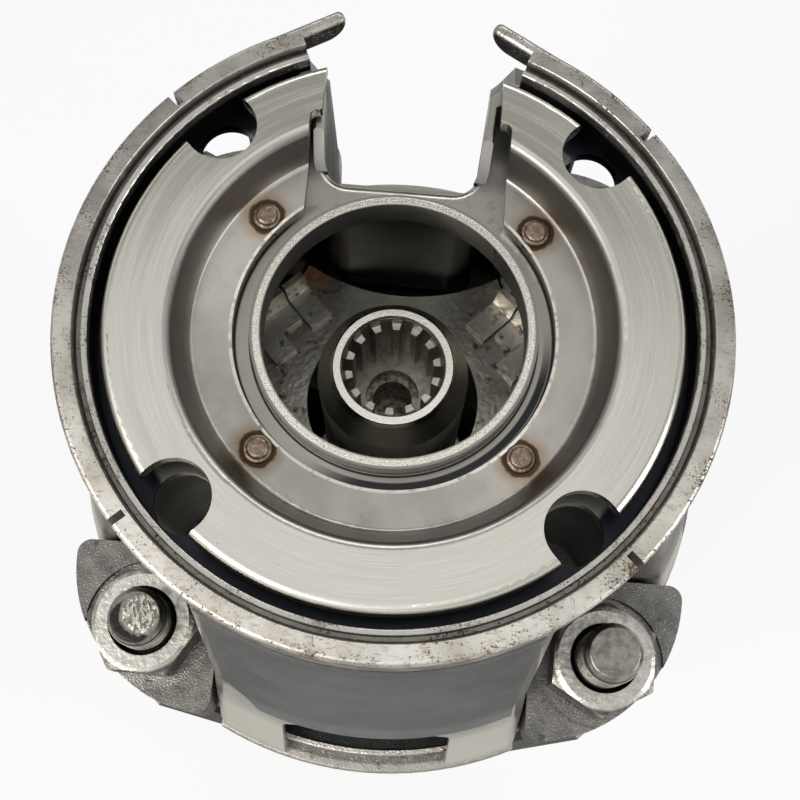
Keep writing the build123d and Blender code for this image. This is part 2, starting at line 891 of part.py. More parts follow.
def valve_seat():
    """The seat ring, with a raised lip that the valve cup closes on."""
    top = seat_top
    foot = top - seat_thickness
    return turned(
        (seat_opening_radius, foot),
        (casing_top_bore_radius - seat_clearance, foot),
        (casing_top_bore_radius - seat_clearance, top),
        (seat_opening_radius + 1.0, top, 3.0),
        (seat_opening_radius, top - 1.5),
    )


def seat_retainer():
    """The slit ring over the seat."""
    outer = casing_top_bore_radius - seat_clearance
    foot = seat_top
    body = ring(outer, outer - retainer_width, foot, foot + retainer_height)
    return body - upright_block(0, far / 2, 6.0, foot, foot + retainer_height)


def cup_top():
    return seat_top - seat_thickness - seat_clearance


def guide_top():
    return guide_ledge + guide_height


def valve_cup():
    """The valve's disc and the stem that slides in the guide."""
    top = cup_top()
    foot = top - cup_thickness
    stem_foot = guide_ledge - cup_stem_overhang
    return turned(
        (0, stem_foot),
        (cup_stem_radius - 0.8, stem_foot),
        (cup_stem_radius, stem_foot + 0.8),
        (cup_stem_radius, foot - 3.0),
        (cup_stem_radius + 1.5, foot, 1.0),
        (cup_radius - 1.0, foot),
        (cup_radius, foot + 1.0),
        (cup_radius, top),
        (seat_opening_radius * 0.6, top),
        (0, top + 6.0, 10.0),
    )


def valve_guide():
    """The spider that guides the valve's stem and carries its spring."""
    outer = casing_cavity_radius - seat_clearance
    foot = guide_ledge
    hub_bore = cup_stem_radius + running_clearance
    body = ring(outer, outer - guide_ring_width, foot, foot + 6.0)
    body += ring(hub_bore + guide_hub_wall, hub_bore, foot, guide_top())
    arm = upright_block(
        hub_bore + guide_hub_wall / 2,
        outer - guide_ring_width / 2,
        guide_arm_width,
        foot,
        foot + 6.0,
    )
    return body + around(arm, evenly(guide_arm_count))


def valve_spring():
    """The light coil that closes the valve."""
    foot = guide_top() + spring_wire_radius
    top = cup_top() - cup_thickness - spring_wire_radius
    path = Helix((top - foot) / spring_turns, top - foot, spring_radius)
    start = Plane(origin=path @ 0, z_dir=path % 0)
    return Pos(0, 0, foot) * sweep(start * Circle(spring_wire_radius), path=path)


def strap(tip):
    """A strap: the hook in the casing's groove, the flat strip, the head and its stud."""
    inner = strap_radius
    outer = inner + strap_sheet
    head_inner = strap_circle_radius - strap_head_reach / 2
    hook_inner = casing_groove_radius + 2 * seat_clearance
    hook_top = casing_top - casing_collar_height - seat_clearance
    round_out = strap_bend + strap_sheet
    section = profile(
        (head_inner, lug_foot),
        (outer, lug_foot, round_out / 2),
        (outer, hook_top - strap_sheet, round_out / 2),
        (hook_inner, hook_top - strap_sheet),
        (hook_inner, hook_top),
        (inner, hook_top, 0.2),
        (inner, lug_foot - strap_sheet, 0.2),
        (head_inner, lug_foot - strap_sheet),
    )
    body = extrude(Plane.XZ * section, strap_width / 2, both=True)
    shoulder = tip - strap_stud_end_length
    stud = turned(
        (0, lug_foot),
        (strap_stud_radius, lug_foot),
        (strap_stud_radius, shoulder - 0.4),
        (strap_stud_end_radius, shoulder),
        (strap_stud_end_radius, tip - 0.8),
        (strap_stud_tip_radius, tip, 0.3),
        (0, tip),
    )
    return body + strap_place() * stud


def strap_nut():
    """A hexagon nut with both faces chamfered and its thread countersunk."""
    foot = lug_top - spot_face_depth
    top = foot + nut_height
    corner = nut_across_flats / math.sqrt(3) + 0.2
    slope = (corner - nut_face_radius) * 0.5
    limit = turned(
        (0, foot),
        (nut_face_radius, foot),
        (corner, foot + slope),
        (corner, top - slope),
        (nut_face_radius, top),
        (0, top),
    )
    bore = strap_stud_radius + bonded_clearance
    body = prism(hexagon(nut_across_flats), foot, top) & limit
    body -= turned(
        (0, foot - 1),
        (bore, foot - 1),
        (bore, top - nut_countersink_depth),
        (nut_countersink_radius - 0.3, top - nut_countersink_depth + 0.6),
        (nut_countersink_radius, top),
        (0, top),
    )
    return strap_place() * Rot(0, 0, nut_turn) * body


def stage_tops():
    return [first_bowl_top - stage_pitch * step for step in range(stage_count)]


def collect():
    """Every piece by its name."""
    pieces = {
        "mounting_ring": mounting_ring(),
        "motor_plate": motor_plate(),
        "plug_welds": plug_welds(),
        "inlet_shell": inlet_shell(),
        "floor_baffle": floor_baffle(),
        "baffle_feet": baffle_feet(),
        "suction_flange": suction_flange(),
        "suction_plate": suction_plate(),
        "last_chamber": last_chamber(),
        "end_bearing": end_bearing(),
        "pump_shaft": pump_shaft(),
        "spline_coupling": spline_coupling(),
        "coupling_pin": coupling_pin(),
        "valve_casing": valve_casing(),
        "valve_seat": valve_seat(),
        "seat_retainer": seat_retainer(),
        "valve_cup": valve_cup(),
        "valve_guide": valve_guide(),
        "valve_spring": valve_spring(),
        "strap_nuts": around(strap_nut(), corner_angles),
    }
    for number, top in enumerate(stage_tops(), 1):
        pieces[f"bowl_{number}"] = bowl(top)
        pieces[f"neck_ring_{number}"] = neck_ring(top)
        pieces[f"guide_vanes_{number}"] = guide_vanes(top)
        pieces[f"chamber_bearing_{number}"] = chamber_bearing(top)
        pieces[f"impeller_{number}"] = impeller(top)
        pieces[f"split_cone_{number}"] = split_cone(top)
        pieces[f"cone_nut_{number}"] = cone_nut(top)
    places = ("back_right", "back_left", "front_left", "front_right")
    for place, angle, tip_depth in zip(places, corner_angles, strap_tip_depths):
        pieces[f"strap_{place}"] = Rot(0, 0, angle) * strap(-tip_depth)
    return pieces


def write(name, shape):
    """Writes one piece, or a group of like pieces, stood on the discharge face."""
    solids = [solid for each in (shape if isinstance(shape, list) else [shape])
              for solid in each.solids()]
    whole = solids[0] if len(solids) == 1 else Compound(children=solids)
    export_step(Pos(0, 0, pump_length) * whole, f"parts/{name}.step")
    return len(solids)


os.makedirs("parts", exist_ok=True)
for piece_name, piece in collect().items():
    print(piece_name, write(piece_name, piece))
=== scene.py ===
import json
import math
import bmesh
import bpy
from mathutils import Matrix, Vector


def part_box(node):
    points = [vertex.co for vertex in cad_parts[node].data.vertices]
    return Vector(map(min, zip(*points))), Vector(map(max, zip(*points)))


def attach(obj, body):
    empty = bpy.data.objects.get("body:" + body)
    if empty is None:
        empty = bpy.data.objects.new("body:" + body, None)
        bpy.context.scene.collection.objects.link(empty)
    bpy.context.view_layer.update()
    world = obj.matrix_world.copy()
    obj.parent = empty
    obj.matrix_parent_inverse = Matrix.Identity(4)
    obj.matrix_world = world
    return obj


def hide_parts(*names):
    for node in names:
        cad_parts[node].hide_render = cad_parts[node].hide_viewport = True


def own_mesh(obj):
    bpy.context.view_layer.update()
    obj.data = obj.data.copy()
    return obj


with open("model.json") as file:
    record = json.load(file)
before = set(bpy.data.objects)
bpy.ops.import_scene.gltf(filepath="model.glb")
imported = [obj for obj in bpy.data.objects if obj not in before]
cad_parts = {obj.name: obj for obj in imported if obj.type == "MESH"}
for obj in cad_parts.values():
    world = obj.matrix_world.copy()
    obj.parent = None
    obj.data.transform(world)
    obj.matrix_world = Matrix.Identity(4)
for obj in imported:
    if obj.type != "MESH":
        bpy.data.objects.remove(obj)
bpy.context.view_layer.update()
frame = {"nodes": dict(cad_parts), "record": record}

# Heights in the pump are measured down from the motor's face, in millimetres.
PUMP_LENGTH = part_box("mounting_ring")[1][2] * 1000

# Places on the pump that the finishes and the added pieces go by, in millimetres
STUD_CORNER = 55.4 / math.sqrt(2)
STUD_RADIUS = 4.65
NUT_TOP = -51.6
STUD_TIPS = {
    "strap_back_right": (1, 1, -43.0),
    "strap_back_left": (-1, 1, -43.0),
    "strap_front_left": (-1, -1, -45.1),
    "strap_front_right": (1, -1, -41.4),
}
WELD_CIRCLE = 25.7
WELD_ANGLES = (41.0, 141.0, 227.0, 318.0)
WELD_SPOTS = [
    (WELD_CIRCLE * math.cos(math.radians(a)), WELD_CIRCLE * math.sin(math.radians(a)))
    for a in WELD_ANGLES
]
# Height and outer radius of the front drum, which runs straight and then flares to the skirt
DRUM_PROFILE = ((0.0, 47.65), (-15.0, 47.65), (-53.0, 53.8), (-58.0, 56.0), (-66.0, 60.2))

RUST = (0.115, 0.058, 0.026)
DARK_RUST = (0.035, 0.022, 0.014)


def mm(x, y, z):
    """A point given in millimetres from the centre of the motor's face, in the frame's metres."""
    return Vector((x / 1000, y / 1000, (PUMP_LENGTH + z) / 1000))


class Finish:
    """A node material, with short calls for the nodes that the finishes below share."""

    def __init__(self, name, metallic=1.0):
        self.material = bpy.data.materials.new(name)
        self.material.use_nodes = True
        self.tree = self.material.node_tree
        self.surface = self.tree.nodes["Principled BSDF"]
        self.surface.inputs["Metallic"].default_value = metallic
        place = self.node("TexCoord").outputs["Object"]
        self.place = self.vector("MULTIPLY_ADD", place, (1000, 1000, 1000), (0, 0, -PUMP_LENGTH))
        self.flat = self.vector("MULTIPLY", self.place, (1, 1, 0))
        parts = self.node("SeparateXYZ")
        self.feed(parts.inputs[0], self.place)
        self.x, self.y, self.z = parts.outputs
        self.radius = self.vector("LENGTH", self.flat)
        self.angle = self.math("ARCTAN2", self.y, self.x)
        self.round_place = self.combine(self.radius, self.angle, self.z)

    def node(self, kind, **settings):
        node = self.tree.nodes.new("ShaderNode" + kind)
        for name, value in settings.items():
            setattr(node, name, value)
        return node

    def feed(self, socket, value):
        if isinstance(value, bpy.types.NodeSocket):
            self.tree.links.new(value, socket)
        elif socket.type == "RGBA" and len(value) == 3:
            socket.default_value = (*value, 1)
        else:
            socket.default_value = value

    def feed_all(self, node, values):
        for socket, value in zip(node.inputs, values):
            self.feed(socket, value)

    def combine(self, *values):
        node = self.node("CombineXYZ")
        self.feed_all(node, values)
        return node.outputs[0]

    def math(self, operation, *values):
        node = self.node("Math", operation=operation)
        self.feed_all(node, values)
        return node.outputs[0]

    def vector(self, operation, *values):
        node = self.node("VectorMath", operation=operation)
        self.feed_all(node, values)
        return node.outputs["Value" if operation in ("LENGTH", "DISTANCE") else "Vector"]

    def noise(self, size, stretch=(1, 1, 1), detail=3.0, place=None):
        """Noise from 0 to 1, in blotches about size millimetres across."""
        node = self.node("TexNoise")
        scale = tuple(part / size for part in stretch)
        self.feed(node.inputs["Vector"], self.vector("MULTIPLY", place or self.place, scale))
        node.inputs["Scale"].default_value = 1.0
        node.inputs["Detail"].default_value = detail
        return node.outputs["Fac"]

    def turned(self, size, length):
        """Fine lines round the pump's axis, each running for about length radians."""
        return self.noise(size, (1, size / length, 1), 2.0, self.round_place)

    def ramp(self, value, low, high):
        """From 0 at low to 1 at high, on a soft step; low may be the greater one."""
        node = self.node("MapRange", interpolation_type="SMOOTHSTEP")
        for name, part in (("Value", value), ("From Min", low), ("From Max", high)):
            self.feed(node.inputs[name], part)
        return node.outputs["Result"]

    def within(self, value, low, high, soft=0.15):
        """1 between low and high, and 0 outside them."""
        rising = self.ramp(value, low - soft, low + soft)
        falling = self.ramp(value, high + soft, high - soft)
        return self.both(rising, falling)

    def together(self, operation, shares):
        result = shares[0]
        for share in shares[1:]:
            result = self.math(operation, result, share)
        return result

    def both(self, *shares):
        return self.together("MULTIPLY", shares)

    def either(self, *shares):
        return self.together("MAXIMUM", shares)

    def blend(self, share, first, second):
        """The first colour where share is 0 and the second where it is 1."""
        node = self.node("Mix", data_type="RGBA")
        self.feed(node.inputs[0], share)
        self.feed(node.inputs[6], first)
        self.feed(node.inputs[7], second)
        return node.outputs[2]

    def between(self, share, first, second):
        """As blend, for two numbers."""
        node = self.node("Mix", data_type="FLOAT")
        self.feed(node.inputs[0], share)
        self.feed(node.inputs[2], first)
        self.feed(node.inputs[3], second)
        return node.outputs[0]

    def over(self, colour, tint, *shares):
        """The colour with a tint laid over it where all the shares are 1."""
        return self.blend(self.both(*shares), colour, tint)

    def clouds(self, size, first, second, detail=3.0, low=0.35, high=0.7):
        """Two colours in soft blotches."""
        return self.blend(self.ramp(self.noise(size, detail=detail), low, high), first, second)

    def distance(self, spots):
        """The distance from the nearest of the upright lines through the given x, y spots."""
        reach = [self.vector("DISTANCE", self.flat, (x, y, 0)) for x, y in spots]
        return self.together("MINIMUM", reach)

    def near(self, spots, radius, soft):
        """1 within radius of upright lines through the given x, y spots."""
        return self.ramp(self.distance(spots), radius + soft, radius - soft)

    def corner(self, corner):
        """The distance from the nearest of four upright lines at x and y of +corner or -corner."""
        folded = self.vector("ABSOLUTE", self.flat)
        return self.vector("DISTANCE", folded, (corner, corner, 0))

    def done(self, colour, roughness, height, depth):
        """Sets colour, roughness and a bump whose full height is depth millimetres."""
        self.feed(self.surface.inputs["Base Color"], colour)
        self.feed(self.surface.inputs["Roughness"], roughness)
        bump = self.node("Bump")
        bump.inputs["Strength"].default_value = 1.0
        bump.inputs["Distance"].default_value = depth / 1000
        self.feed(bump.inputs["Height"], height)
        self.feed(self.surface.inputs["Normal"], bump.outputs["Normal"])
        return self.material

    def brush(self, amount):
        """Spreads the highlights across lines that run round the pump's axis."""
        self.surface.inputs["Anisotropic"].default_value = amount
        tangent = self.node("Tangent", direction_type="RADIAL", axis="Z")
        self.feed(self.surface.inputs["Tangent"], tangent.outputs[0])


def ring_band():
    """Pale, scratched steel with brown smears and small pits, most of them by its outer edge."""
    f = Finish("ring_band")
    outer = f.ramp(f.radius, 45.4, 47.6)
    groove_shade = f.both(f.within(f.radius, 43.5, 44.75), f.ramp(f.z, -0.4, -1.0))
    ledge = f.both(f.ramp(f.radius, 43.75, 43.6), f.ramp(f.z, -2.4, -2.0))
    side = f.ramp(f.z, -0.5, -2.0)
    bore_shade = f.both(f.ramp(f.radius, 43.1, 42.9), f.ramp(f.z, -2.5, -3.0))

    patch = f.noise(9.0, detail=4.0)
    # Painted light: both tones of the band grow lighter towards its front, at negative y.
    painted_front_light = f.ramp(f.y, 20.0, -30.0)
    light = f.blend(painted_front_light, (0.45, 0.435, 0.40), (0.66, 0.63, 0.57))
    dull = f.blend(painted_front_light, (0.30, 0.288, 0.262), (0.49, 0.46, 0.405))
    colour = f.blend(f.ramp(patch, 0.38, 0.64), light, dull)
    smear = f.ramp(f.noise(0.8, (0.5, 1.0, 1.0), 5.0), 0.52, 0.72)
    colour = f.over(colour, (0.20, 0.18, 0.155), smear, 0.4)
    colour = f.over(colour, (0.50, 0.485, 0.45), ledge)
    # Painted shade: the groove is darkened.
    colour = f.over(colour, (0.13, 0.125, 0.115), groove_shade, 0.85)

    dense = f.math("MULTIPLY_ADD", outer, 0.05, f.math("MULTIPLY", patch, 0.16))
    cluster = f.both(f.ramp(f.noise(5.0, detail=4.0), 0.45, 0.65), 0.09)
    dense = f.math("ADD", dense, cluster)
    pits = f.ramp(f.math("ADD", f.noise(0.42, detail=4.0), dense), 0.745, 0.80)
    specks = f.ramp(f.math("ADD", f.noise(0.2, detail=2.0), dense), 0.76, 0.81)
    along = f.ramp(f.noise(0.3, (0.14, 1.0, 1.0), 2.0), 0.67, 0.72)
    across = f.ramp(f.noise(0.3, (1.0, 0.14, 1.0), 2.0), 0.69, 0.73)
    scratch = f.either(along, across)
    rust = f.ramp(f.math("ADD", f.noise(2.8, detail=7.0), dense), 0.69, 0.86)
    grime = f.ramp(f.noise(3.0, detail=4.0), 0.35, 0.7)
    colour = f.over(colour, (0.13, 0.085, 0.05), rust, 0.6)
    colour = f.over(colour, (0.10, 0.088, 0.075), scratch, 0.4)
    colour = f.over(colour, DARK_RUST, f.either(pits, specks), 0.75)
    # Grime and painted shade: the band's side faces below its top are darkened, in blotches.
    colour = f.over(colour, (0.10, 0.09, 0.078), side, grime, 0.6)
    # Painted shade: the bore wall under the band is darkened almost to black.
    colour = f.over(colour, (0.010, 0.012, 0.018), bore_shade, 0.95)

    rough = f.between(f.either(pits, f.both(rust, 0.8)), 0.36, 0.75)
    waves = f.both(f.noise(1.2, detail=5.0), 0.35)
    height = f.math("SUBTRACT", waves, f.both(f.either(pits, scratch), 0.5))
    return f.done(colour, rough, height, 0.12)


def machined_plate():
    """The plate's turned face, bright with fine rings, and its satin dished floor."""
    f = Finish("machined_plate")
    face = f.both(f.ramp(f.radius, 31.6, 32.4), f.ramp(f.z, -2.6, -1.8))
    step_wall_shade = f.within(f.radius, 29.4, 31.9, 0.6)
    lip_highlight = f.within(f.radius, 23.0, 23.65, 0.08)
    edge = f.within(f.radius, 28.3, 31.4, 0.8)
    roll = f.both(f.ramp(f.radius, 40.2, 40.9), f.ramp(f.z, -1.0, -2.0))
    underside_shade = f.ramp(f.z, -8.6, -9.6)

    lines = f.turned(0.13, 0.35)
    wide = f.turned(0.9, 0.8)
    bright = f.blend(f.ramp(lines, 0.3, 0.7), (0.57, 0.555, 0.50), (0.65, 0.635, 0.575))
    bright = f.over(bright, (0.40, 0.38, 0.33), f.ramp(wide, 0.45, 0.75), 0.18)
    satin = f.clouds(7.0, (0.38, 0.365, 0.335), (0.32, 0.308, 0.285))
    # Painted shade: the upright step wall between the dished floor and the face is darkened.
    satin = f.over(satin, (0.13, 0.127, 0.12), step_wall_shade, 0.8)
    colour = f.blend(face, satin, bright)
    tint = f.ramp(f.noise(5.0, detail=5.0), 0.55, 0.8)
    colour = f.over(colour, (0.25, 0.17, 0.105), tint, f.ramp(face, 1.0, 0.0), 0.45)

    wobble = f.math("MULTIPLY_ADD", f.noise(1.6), 0.9, -0.45)
    from_weld = f.math("ADD", f.distance(WELD_SPOTS), wobble)
    halo = f.both(f.ramp(from_weld, 4.9, 2.5), 0.7)
    colour = f.over(colour, (0.21, 0.14, 0.08), halo)
    colour = f.over(colour, DARK_RUST, f.ramp(from_weld, 2.95, 2.55), 0.93)

    # Painted highlight: a light line along the dish's inner edge.
    colour = f.over(colour, (0.60, 0.58, 0.52), lip_highlight, f.ramp(f.noise(1.1), 0.3, 0.5))
    stain = f.ramp(f.noise(2.0, detail=5.0), 0.5, 0.72)
    colour = f.over(colour, (0.23, 0.15, 0.09), edge, stain, 0.45)
    specks = f.ramp(f.noise(0.42, detail=2.0), 0.73, 0.77)
    colour = f.over(colour, (0.06, 0.045, 0.035), specks, 0.75)
    # Painted shade: the plate's rolled outer edge is darkened almost to black, as part of the dark
    # gap round the plate.
    colour = f.over(colour, (0.015, 0.018, 0.026), roll, 0.9)
    # Painted shade: the plate's underside is darkened.
    colour = f.over(colour, (0.14, 0.13, 0.12), underside_shade, 0.6)

    rough = f.between(face, 0.42, f.between(f.ramp(wide, 0.4, 0.7), 0.20, 0.30))
    rough = f.between(f.either(halo, roll), rough, 0.62)
    fine = f.between(face, f.noise(0.5), lines)
    height = f.math("SUBTRACT", f.both(fine, 0.4), f.both(specks, 0.5))
    f.brush(0.55)
    return f.done(colour, rough, height, 0.035)


def weld_plugs():
    """Burnt brown caps with a dark rim."""
    f = Finish("weld_plugs")
    middle = f.near(WELD_SPOTS, 1.95, 0.15)
    burnt = f.clouds(0.8, (0.235, 0.185, 0.14), (0.15, 0.113, 0.085), high=0.65)
    colour = f.blend(middle, DARK_RUST, burnt)
    shine = f.both(f.ramp(f.noise(0.45), 0.60, 0.70), middle, 0.7)
    colour = f.over(colour, (0.42, 0.37, 0.32), shine)
    return f.done(colour, f.between(shine, 0.42, 0.28), f.noise(0.5), 0.12)


def drawn_shell():
    """Drawn stainless sheet: satin, with painted shade in the cable channel and painted glints on
    the collar's rim.
    """
    f = Finish("drawn_shell")
    cloud = f.noise(14.0)
    grain = f.ramp(f.noise(0.5, (1, 1, 0.12)), 0.5, 0.75)
    colour = f.blend(f.ramp(cloud, 0.35, 0.7), (0.42, 0.405, 0.375), (0.33, 0.318, 0.295))
    colour = f.over(colour, (0.24, 0.23, 0.21), grain, 0.3)
    # Painted shade: the cable channel is darkened.
    channel = f.both(f.ramp(f.y, 22.5, 26.0), f.ramp(f.z, -4.2, -9.5))
    colour = f.over(colour, (0.125, 0.13, 0.132), channel, 0.8)
    # Painted shade: the collar's bore is darkened.
    bore_shade = f.ramp(f.radius, 19.2, 19.1)
    colour = f.over(colour, (0.16, 0.158, 0.15), bore_shade, 0.85)

    # The sunk ring between the collar and the dished plate, with painted shade and reflections:
    # dark lines along its inner and outer corners and a dark crescent on its far side.
    in_ring = f.within(f.radius, 20.65, 23.7, 0.1)
    moat = f.both(in_ring, f.ramp(f.z, -4.7, -5.3), f.ramp(f.y, 19.0, 15.0))
    slant = f.math("MULTIPLY_ADD", f.x, 0.55, f.math("MULTIPLY", f.y, -0.83))
    far_side_shade = f.both(f.ramp(slant, 9.0, 17.0), f.within(f.radius, 21.7, 22.8))
    collar_foot_shade = f.within(f.radius, 20.5, 21.0, 0.1)
    plate_edge_shade = f.within(f.radius, 22.85, 23.6, 0.1)
    painted_dark_lines = f.either(collar_foot_shade, plate_edge_shade, far_side_shade)
    tone = f.blend(painted_dark_lines, (0.33, 0.32, 0.29), (0.012, 0.013, 0.015))
    colour = f.over(colour, tone, moat, 0.95)

    # Painted glints: bright specks over a darker band on the collar's top rim.
    rim = f.both(f.within(f.radius, 19.0, 20.7, 0.06), f.ramp(f.z, -4.75, -4.45))
    crown = f.within(f.radius, 19.2, 20.15, 0.12)
    painted_glint = f.both(f.ramp(f.noise(0.24, detail=3.0), 0.30, 0.52), crown)
    colour = f.over(colour, f.blend(painted_glint, (0.22, 0.212, 0.19), (0.70, 0.68, 0.61)), rim)

    # Painted shade: the shelf under the plate's edge is darkened almost to black, as the dark gap
    # round the plate.
    gap_shade = f.both(f.within(f.z, -9.0, -7.5, 0.1), f.within(f.radius, 39.0, 43.4, 0.5))
    colour = f.over(colour, (0.008, 0.011, 0.018), gap_shade, f.ramp(f.y, 39.0, 36.0), 0.96)
    # Painted shade: the pockets low in the shell are darkened almost to black.
    deep = f.both(f.ramp(f.radius, 48.0, 46.0), f.ramp(f.z, -11.0, -14.0))
    colour = f.over(colour, (0.045, 0.05, 0.052), deep, 0.88)
    skirt = f.both(f.ramp(f.z, -56.0, -60.0), f.ramp(f.radius, 52.0, 54.0))
    colour = f.over(colour, (0.66, 0.63, 0.56), skirt, 0.8)
    shelf = f.both(f.within(f.z, -8.6, -7.6, 0.1), f.ramp(f.radius, 30.0, 28.0))
    stain = f.ramp(f.noise(2.2, detail=5.0), 0.5, 0.75)
    colour = f.over(colour, (0.19, 0.115, 0.065), shelf, f.ramp(f.y, 15.0, 19.0), stain, 0.6)
    specks = f.ramp(f.noise(0.4, detail=2.0), 0.72, 0.76)
    colour = f.over(colour, (0.05, 0.042, 0.035), specks, 0.7)

    rough = f.between(f.ramp(cloud, 0.3, 0.7), 0.27, 0.38)
    rough = f.between(skirt, rough, 0.5)
    rough = f.between(rim, rough, f.between(painted_glint, 0.45, 0.2))
    fine = f.both(f.noise(2.6, detail=4.0), 0.5)
    height = f.math("SUBTRACT", f.between(rim, fine, f.both(painted_glint, 0.8)), f.both(specks, 0.3))
    return f.done(colour, rough, height, 0.05)


def inner_sheet():
    """The baffle deep inside: warm grey, with rust at the strips' bends and one large spot."""
    f = Finish("inner_sheet")
    colour = f.clouds(6.0, (0.56, 0.535, 0.47), (0.40, 0.38, 0.33))
    strips = f.ramp(f.z, -41.95, -41.2)
    colour = f.over(colour, (0.88, 0.85, 0.76), strips, 0.85)
    beside = f.ramp(f.math("ABSOLUTE", f.x), 8.0, 12.0)
    near_strips = f.both(f.within(f.radius, 15.0, 34.0, 2.0), beside)
    rust = f.both(f.ramp(f.noise(2.0, detail=5.0), 0.53, 0.70), near_strips)
    colour = f.over(colour, RUST, rust, 0.85)
    spot = f.near([(-15.3, 21.7)], 2.6, 1.6)
    colour = f.over(colour, (0.50, 0.23, 0.075), spot, f.ramp(f.noise(1.2), 0.3, 0.6))
    rough = f.between(f.either(spot, rust), 0.36, 0.7)
    return f.done(colour, rough, f.noise(0.9, detail=4.0), 0.08)


def cast_flange():
    """Blasted investment casting with a fine sparkle, smoother on the nuts' seats."""
    f = Finish("cast_flange")
    from_stud = f.corner(STUD_CORNER)
    seat = f.both(f.ramp(from_stud, 11.4, 11.1), f.ramp(f.z, -59.5, -59.8))
    inside_rim_shade = f.both(f.ramp(f.radius, 57.9, 57.3), f.ramp(f.z, -71.0, -71.6))
    bead_highlight = f.both(f.within(f.radius, 56.6, 58.1, 0.2), f.within(f.z, -73.9, -72.8, 0.1))
    edge = f.both(f.ramp(f.radius, 59.0, 59.6), f.ramp(f.z, -72.5, -73.5))

    grain = f.noise(0.34, detail=3.0)
    lumps = f.noise(3.2, detail=4.0)
    colour = f.blend(f.ramp(lumps, 0.35, 0.7), (0.185, 0.18, 0.17), (0.125, 0.122, 0.116))
    colour = f.over(colour, (0.38, 0.37, 0.345), f.ramp(grain, 0.60, 0.70))
    colour = f.over(colour, (0.25, 0.243, 0.225), seat, 0.6)
    off_lugs = f.ramp(from_stud, 13.0, 14.5)
    # Painted shade: inside the rim, away from the lugs, the casting is darkened almost to black.
    colour = f.over(colour, (0.014, 0.017, 0.017), inside_rim_shade, off_lugs, 0.93)
    # Painted highlight: a light line along the bead.
    colour = f.over(colour, (0.50, 0.48, 0.44), bead_highlight)
    # Painted highlight: the flange's rounded outer edge is lightened.
    colour = f.over(colour, (0.44, 0.42, 0.38), edge, 0.7)
    grime = f.ramp(f.noise(2.0, detail=5.0), 0.58, 0.74)
    colour = f.over(colour, (0.045, 0.04, 0.035), grime, 0.6)
    rough = f.between(f.either(seat, bead_highlight), 0.52, 0.34)
    height = f.math("ADD", f.both(grain, 0.45), f.both(lumps, 0.8))
    return f.done(colour, rough, height, 0.24)


def stage_sheet():
    """Pressed stainless sheet with a fine grain round the pump."""
    f = Finish("stage_sheet")
    lines = f.noise(0.22, (0.2, 1.6, 1.0), 2.0, f.round_place)
    cloud = f.noise(18.0)
    colour = f.blend(f.ramp(cloud, 0.35, 0.7), (0.50, 0.485, 0.45), (0.41, 0.40, 0.37))
    colour = f.over(colour, (0.33, 0.32, 0.295), f.ramp(lines, 0.5, 0.7), 0.3)
    stain = f.ramp(f.noise(9.0, (1, 1, 0.35), 5.0), 0.60, 0.78)
    colour = f.over(colour, (0.22, 0.185, 0.14), stain, 0.35)
    f.brush(0.4)
    return f.done(colour, f.between(f.ramp(cloud, 0.3, 0.7), 0.24, 0.36), lines, 0.02)


def impeller_sheet():
    """Pressed and welded sheet, a little duller and stained along the blades."""
    f = Finish("impeller_sheet")
    cloud = f.noise(5.0, detail=4.0)
    colour = f.blend(f.ramp(cloud, 0.35, 0.7), (0.44, 0.425, 0.385), (0.31, 0.295, 0.265))
    weld = f.ramp(f.noise(1.8, detail=5.0), 0.60, 0.74)
    colour = f.over(colour, (0.19, 0.125, 0.075), weld, 0.5)
    rough = f.between(f.ramp(cloud, 0.3, 0.7), 0.28, 0.44)
    return f.done(colour, rough, f.noise(0.8, detail=4.0), 0.06)


def bearing_rubber():
    """Black nitrile rubber with a dusty bloom."""
    f = Finish("bearing_rubber", 0.0)
    bloom = f.ramp(f.noise(3.0, detail=4.0), 0.45, 0.75)
    colour = f.blend(bloom, (0.012, 0.012, 0.013), (0.035, 0.034, 0.032))
    return f.done(colour, f.between(bloom, 0.5, 0.72), f.noise(0.6), 0.05)


def ring_plastic():
    """Black moulded plastic of the neck rings, greyed by the turning lines in their bores."""
    f = Finish("ring_plastic", 0.0)
    lines = f.noise(0.25, detail=2.0, place=f.round_place)
    colour = f.clouds(4.0, (0.022, 0.022, 0.024), (0.045, 0.044, 0.044), low=0.4)
    colour = f.over(colour, (0.09, 0.088, 0.085), f.ramp(lines, 0.5, 0.75), 0.4)
    return f.done(colour, f.between(f.ramp(lines, 0.3, 0.7), 0.38, 0.52), lines, 0.03)


